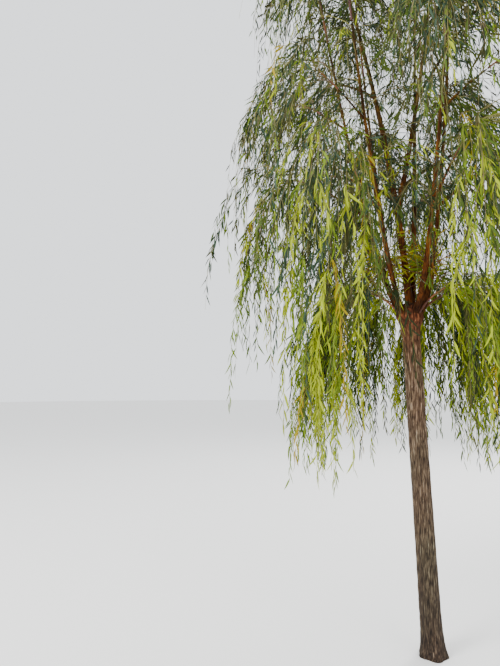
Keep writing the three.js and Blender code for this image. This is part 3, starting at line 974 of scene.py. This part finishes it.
def joined_piece(name, parts, materials):
    """One mesh from many small things. Each part is its vertices, its faces and its faces' material."""
    offset = 0
    vertices, faces, slots = [], [], []
    for corners, triangles, material in parts:
        vertices.append(corners.reshape(-1, 3))
        faces.append(triangles.reshape(-1, 3) + offset)
        slots.append(np.broadcast_to(material, triangles.shape[:-1]).ravel())
        offset += len(vertices[-1])
    vertices, faces, slots = (np.concatenate(rows) for rows in (vertices, faces, slots))
    mesh = bpy.data.meshes.new(name)
    mesh.vertices.add(len(vertices))
    mesh.vertices.foreach_set("co", vertices.astype(np.float32).ravel())
    mesh.loops.add(faces.size)
    mesh.loops.foreach_set("vertex_index", faces.astype(np.int32).ravel())
    mesh.polygons.add(len(faces))
    mesh.polygons.foreach_set("loop_start", np.arange(0, faces.size, 3, dtype=np.int32))
    mesh.polygons.foreach_set("material_index", slots.astype(np.int32))
    mesh.polygons.foreach_set("use_smooth", np.full(len(faces), True))
    mesh.update()
    for material in materials:
        mesh.materials.append(material)
    piece = bpy.data.objects.new(name, mesh)
    bpy.context.scene.collection.objects.link(piece)
    return piece


# Trunk and limbs, drawn out ring by ring

def draw_out(name, runs, rises, radii, sides, turned=True):
    """A limb in side view, from a disc at its foot: each ring is drawn out from the last and sized.

    A turned limb has its rings square to its line, and any other has them level. Subdividing draws a ring's
    corners in, so each ring is made larger by as much.
    """
    plump = 3 / (2 + math.cos(2 * math.pi / sides))
    deselect()
    bpy.ops.mesh.primitive_circle_add(
        vertices=sides, radius=radii[0] * plump, fill_type="NGON", location=(0, 0, 0),
    )
    piece = bpy.context.object
    piece.name = name
    bpy.ops.object.mode_set(mode="EDIT")
    last = len(runs) - 1
    lean = 0.0
    for i in range(last + 1):
        place = (runs[i], 0, rises[i])
        if i > 0:
            step = (runs[i] - runs[i - 1], 0, rises[i] - rises[i - 1])
            bpy.ops.mesh.extrude_region_move(TRANSFORM_OT_translate={"value": step})
            narrowing = radii[i] / radii[i - 1]
            bpy.ops.transform.resize(value=(narrowing, narrowing, narrowing), center_override=place)
        if turned:
            low, high = max(i - 1, 0), min(i + 1, last)
            new_lean = math.atan2(runs[high] - runs[low], rises[high] - rises[low])
            bpy.ops.transform.rotate(value=lean - new_lean, orient_axis="Y", center_override=place)
            lean = new_lean
    bpy.ops.mesh.select_all(action="SELECT")
    bpy.ops.mesh.normals_make_consistent(inside=False)
    bpy.ops.object.mode_set(mode="OBJECT")
    return piece


def settle(piece, place, azimuth):
    """Turns a piece to its azimuth and moves it to its place, with both kept in its mesh."""
    piece.location = place
    piece.rotation_euler.z = math.radians(azimuth)
    bpy.ops.object.transform_apply(location=True, rotation=True, scale=True)


def apply_modifier(piece, kind, **settings):
    bpy.context.view_layer.objects.active = piece
    bpy.ops.object.modifier_add(type=kind)
    modifier = piece.modifiers[-1]
    for key, value in settings.items():
        setattr(modifier, key, value)
    bpy.ops.object.modifier_apply(modifier=modifier.name)


def subdivide(piece, levels):
    apply_modifier(piece, "SUBSURF", levels=levels, render_levels=levels)


def places_of(piece):
    places = np.empty(len(piece.data.vertices) * 3, np.float32)
    piece.data.vertices.foreach_get("co", places)
    return places.reshape(-1, 3).astype(float)


def normals_of(piece):
    normals = np.empty(len(piece.data.vertices) * 3, np.float32)
    piece.data.vertices.foreach_get("normal", normals)
    return normals.reshape(-1, 3).astype(float)


def roughen(piece, cell, stretch, depth, crumb_depth):
    """Raises ridges between furrows that run up the bark, and keeps how high each spot ends as its relief."""
    before, normals = places_of(piece), normals_of(piece)
    furrows = bpy.data.textures.new("furrows", "VORONOI")
    furrows.distance_metric = "DISTANCE"
    furrows.weight_1, furrows.weight_2 = -1, 1
    furrows.noise_scale = 1
    furrows.noise_intensity = RIDGE_CONTRAST
    crumbs = bpy.data.textures.new("crumbs", "CLOUDS")
    crumbs.noise_scale = 1
    crumbs.noise_depth = CRUMB_DETAIL
    for texture, size, amount in ((furrows, cell, depth), (crumbs, cell * CRUMB_SIZE, crumb_depth)):
        bpy.ops.object.empty_add(location=(0, 0, 0))
        guide = bpy.context.object
        guide.scale = (size, size, size * stretch)
        bpy.context.view_layer.update()
        apply_modifier(
            piece, "DISPLACE", texture=texture, texture_coords="OBJECT", texture_coords_object=guide,
            strength=amount, mid_level=0.5,
        )
        bpy.data.objects.remove(guide)
        bpy.data.textures.remove(texture)
    height = ((places_of(piece) - before) * normals).sum(-1)
    low, high = np.percentile(height, RELIEF_ENDS)
    relief = piece.data.attributes.new("relief", "FLOAT", "POINT")
    relief.data.foreach_set("value", np.clip((height - low) / (high - low), 0, 1).astype(np.float32))


def trunk_radius(height):
    for (low, low_radius), (high, high_radius) in zip(TRUNK_RADII, TRUNK_RADII[1:]):
        if height <= high:
            share = (height - low) / (high - low)
            if high > NECK_HEIGHT:
                share = share * share * (3 - 2 * share)
            return low_radius + (high_radius - low_radius) * share
    return TRUNK_RADII[-1][1]


def flare_roots(piece):
    """Moves the trunk's foot outwards into the lobes of its root flare."""
    for vertex in piece.data.vertices:
        height = vertex.co.z
        centre = Vector(trunk_axis(height))
        out = vertex.co - centre
        angle = math.atan2(out.y, out.x)
        lobe = 1 + LOBE_DEPTH * math.cos(FLARE_LOBES * angle)
        vertex.co += out.normalized() * FLARE_OUT * math.exp(-height / FLARE_HEIGHT) * lobe


def swell_head(piece):
    """Raises the head's knobs under its low shoots, and its ledges under the leaders that lean out."""
    knobs = [(azimuth, height, KNOB_OUT, KNOB_SIZE) for azimuth, height in zip(SKIRT_AZIMUTHS, KNOB_HEIGHTS)]
    ledges = [(plan["azimuth"], LEDGE_HEIGHT, LEDGE_OUT, LEDGE_SIZE) for plan in LEADERS if plan["power"] < 1]
    for azimuth, height, swell, size in [*knobs, *ledges]:
        middle = trunk_axis(height) + outwards(azimuth) * HEAD_RADIUS
        for vertex in piece.data.vertices:
            near = math.exp(-(vertex.co - Vector(middle)).length_squared / size ** 2)
            out = vertex.co - Vector(trunk_axis(vertex.co.z))
            vertex.co += out.normalized() * swell * near


def crease_foot(piece):
    """Keeps the rim of the flat cut sharp when the trunk is subdivided."""
    bpy.ops.object.mode_set(mode="EDIT")
    bpy.ops.mesh.select_all(action="DESELECT")
    bpy.ops.object.mode_set(mode="OBJECT")
    for edge in piece.data.edges:
        edge.select = all(piece.data.vertices[v].co.z < ROUNDING for v in edge.vertices)
    bpy.ops.object.mode_set(mode="EDIT")
    bpy.ops.transform.edge_crease(value=1)
    bpy.ops.object.mode_set(mode="OBJECT")


def make_trunk(bark):
    shares = np.arange(TRUNK_RINGS + 1) / TRUNK_RINGS
    heights = FORK_HEIGHT * (shares - RING_CROWDING * np.sin(2 * math.pi * shares) / (2 * math.pi))
    radii = [trunk_radius(height) for height in heights]
    trunk = draw_out("trunk_bark", LEAN * heights, heights, radii, TRUNK_SIDES, turned=False)
    settle(trunk, (0, 0, 0), LEAN_AZIMUTH)
    crease_foot(trunk)
    subdivide(trunk, TRUNK_LEVELS)
    flare_roots(trunk)
    swell_head(trunk)
    roughen(trunk, **TRUNK_RELIEF)
    for vertex in trunk.data.vertices:
        vertex.co.z = max(vertex.co.z, 0)
    trunk.data.materials.append(bark)
    bpy.ops.object.shade_smooth()
    dress(trunk, ["trunk"])


def knuckle_shares(heights, places):
    """How a knuckle swells a leader, and how much slimmer the leader is above it, less so towards the tip."""
    above = (heights - KNUCKLE_HEIGHT) / KNUCKLE_SIZE
    slimmed = 1 + (ABOVE_KNUCKLE - 1) * (1 - places / places[-1]) / (1 + np.exp(-SLIMMING_SPEED * above))
    return slimmed + KNUCKLE_SWELL * np.exp(-above ** 2)


def make_limb(one, bark, knuckled, rings, sides, levels):
    path = smoothed(one["points"], rings + 1)
    runs, rises = (path - path[0]) @ outwards(one["azimuth"]), path[:, 2] - path[0, 2]
    run = run_along(one["points"])
    places = np.linspace(0, run[-1], rings + 1)
    radii = np.interp(places, run, one["radii"])
    if knuckled:
        radii = radii * knuckle_shares(path[:, 2], places)
    piece = draw_out(one["name"] + "_bark", runs, rises, radii, sides)
    settle(piece, path[0], one["azimuth"])
    subdivide(piece, levels)
    foot_radius = one["radii"][0]
    roughen(piece, LIMB_CELL, LIMB_STRETCH, LIMB_DEPTH * foot_radius, LIMB_CRUMB_DEPTH * foot_radius)
    piece.data.materials.append(bark)
    bpy.ops.object.shade_smooth()
    dress(piece, [one["name"]])


def dress(piece, nodes):
    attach(piece, "root")
    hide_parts(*nodes)


# Foliage pieces, one of twigs and one of leaves for each part of the crown

def inside_box(points):
    low, high = (np.array(corner) for corner in solids_box)
    return ((points > low - BOX_MARGIN) & (points < high + BOX_MARGIN)).all(-1)


def height_in_crown(heights):
    """From 0 low in the crown, where painted sunlight makes its greens bright, to 1 high in it, where painted
    shade makes them dark.
    """
    return np.clip((heights - BRIGHT_BELOW) / (DARK_ABOVE - BRIGHT_BELOW), 0, 1)


def shade_round_head(points):
    """From 1 in the shade over the head of the trunk to 0 outside it."""
    out = np.linalg.norm(points[:, :2] - trunk_axis(FORK_HEIGHT)[:2], axis=1)
    near = np.clip((SHADE_REACH - out) / SHADE_FADE, 0, 1)
    return near * at_heights(SHADE_HEIGHTS, points[:, 2])


def deal_tints(points, rng):
    """A green for each spray, by chance and by its place in the crown, which paints sunlight low in it and
    shade high in it and round the head.
    """
    share = height_in_crown(points[:, 2])[:, None]
    shade = shade_round_head(points)[:, None]
    low, high, shaded = (np.array([green[column] for green in GREENS]) for column in (2, 3, 4))
    chances = np.cumsum((low * (1 - share) + high * share) * (1 - shade) + shaded * shade, axis=1)
    chances = chances / chances[:, -1:]
    return (rng.random(len(points))[:, None] > chances).sum(1)


def hanging_strands(twigs, limbs, rng):
    """The strands whose tips stay inside the box and clear of the limbs."""
    strands = strands_on(twigs, rng)
    free = inside_box(strands[:, -1]) & (distances_to_limbs(strands[:, -1], limbs) > 0)
    return strands[free]


def even_tubes(paths, foot_radius, tip_radius, material):
    count = len(paths)
    return *tube_mesh(paths, np.full(count, foot_radius), np.full(count, tip_radius), TUBE_SIDES), material


def make_foliage(part, plans, all_plans, own_limbs, limbs, barks, greens, tufted):
    """The twigs and leaves of one part of the crown, in place of its masses."""
    rng = np.random.default_rng(plans[0]["seed"])
    twigs = []
    for plan in plans:
        twigs.extend(twig_paths(plan, all_plans, limbs))
    for one in own_limbs:
        twigs.extend(shoots_on(one, rng))
    twigs = np.array(twigs)
    strands = hanging_strands(twigs, limbs, rng)
    openness = OPENNESS.get(part, OTHER_OPENNESS)
    sets = [
        leaves_on(strands, deal_tints(strands[:, 0], rng), STRAND_BARE, openness, rng),
        leaves_on(twigs, deal_tints(twigs[:, 0], rng), TWIG_BARE, openness, rng),
    ]
    stems = np.array([smoothed(plan["points"], TWIG_POINTS) for plan in plans])
    stem_radii = np.array([plan["radius"] for plan in plans])
    tubes = [
        (*tube_mesh(stems, stem_radii, stem_radii * STEM_TIP_SHARE, STEM_SIDES), SHOOT_BARK),
        even_tubes(twigs, TWIG_RADIUS, TWIG_TIP_RADIUS, TWIG_BARK),
        even_tubes(strands, STRAND_RADIUS, STRAND_TIP_RADIUS, TWIG_BARK),
    ]
    if tufted:
        shoots = np.array([shoot for one in tufted for shoot in tuft_on(one, rng)])
        names = [green[0] for green in GREENS]
        tints = np.array([names.index(TUFT_GREENS[i % len(TUFT_GREENS)]) for i in range(len(shoots))])
        sets.append(leaves_on(shoots, tints, TUFT_BARE, 0, rng))
        tubes.append(even_tubes(shoots, TUFT_RADIUS, TWIG_TIP_RADIUS, SHOOT_BARK))

    leaves = {key: np.concatenate([one[key] for one in sets]) for key in sets[0]}
    tips = leaves["root"] + leaves["way"] * leaves["length"][:, None] * LEAF_TIP_REACH
    kept = inside_box(tips) & (distances_to_limbs(tips, limbs) > 0)
    leaves = {key: values[kept] for key, values in leaves.items()}
    nodes = [plan["name"] for plan in plans]
    dress(joined_piece("twigs_" + part, tubes, barks), nodes)
    blades = joined_piece("leaves_" + part, [(*leaf_mesh(leaves, rng), leaves["tint"][:, None])], greens)
    dress(blades, nodes)


def grow_tree():
    leaders, side_boughs = grow_limbs()
    make_trunk(old_bark_material())
    young_bark = young_bark_material()
    for one in leaders:
        make_limb(one, young_bark, one["part"] in KNUCKLED_LEADERS, **LEADER_MESH)
    for one in side_boughs:
        make_limb(one, young_bark, False, **SIDE_BOUGH_MESH)

    trunk_points = np.array([trunk_axis(0), trunk_axis(FORK_HEIGHT)])
    limbs = [{"part": "trunk", "points": trunk_points, "radii": [HEAD_RADIUS]}, *leaders, *side_boughs]
    plans = plan_masses(leaders, side_boughs)
    barks, greens = thin_bark_materials(), leaf_materials()
    for part in [*[plan["name"] for plan in LEADERS], FORK["name"], "skirt"]:
        own_plans = [plan for plan in plans if plan["part"] == part]
        own_limbs = [one for one in limbs if one["part"] == part]
        tufted = [one for one in leaders if part == "skirt" and one["part"] in KNUCKLED_LEADERS]
        make_foliage(part, own_plans, plans, own_limbs, limbs, barks, greens, tufted)


place_camera()
light_studio()
lay_floor()
grow_tree()
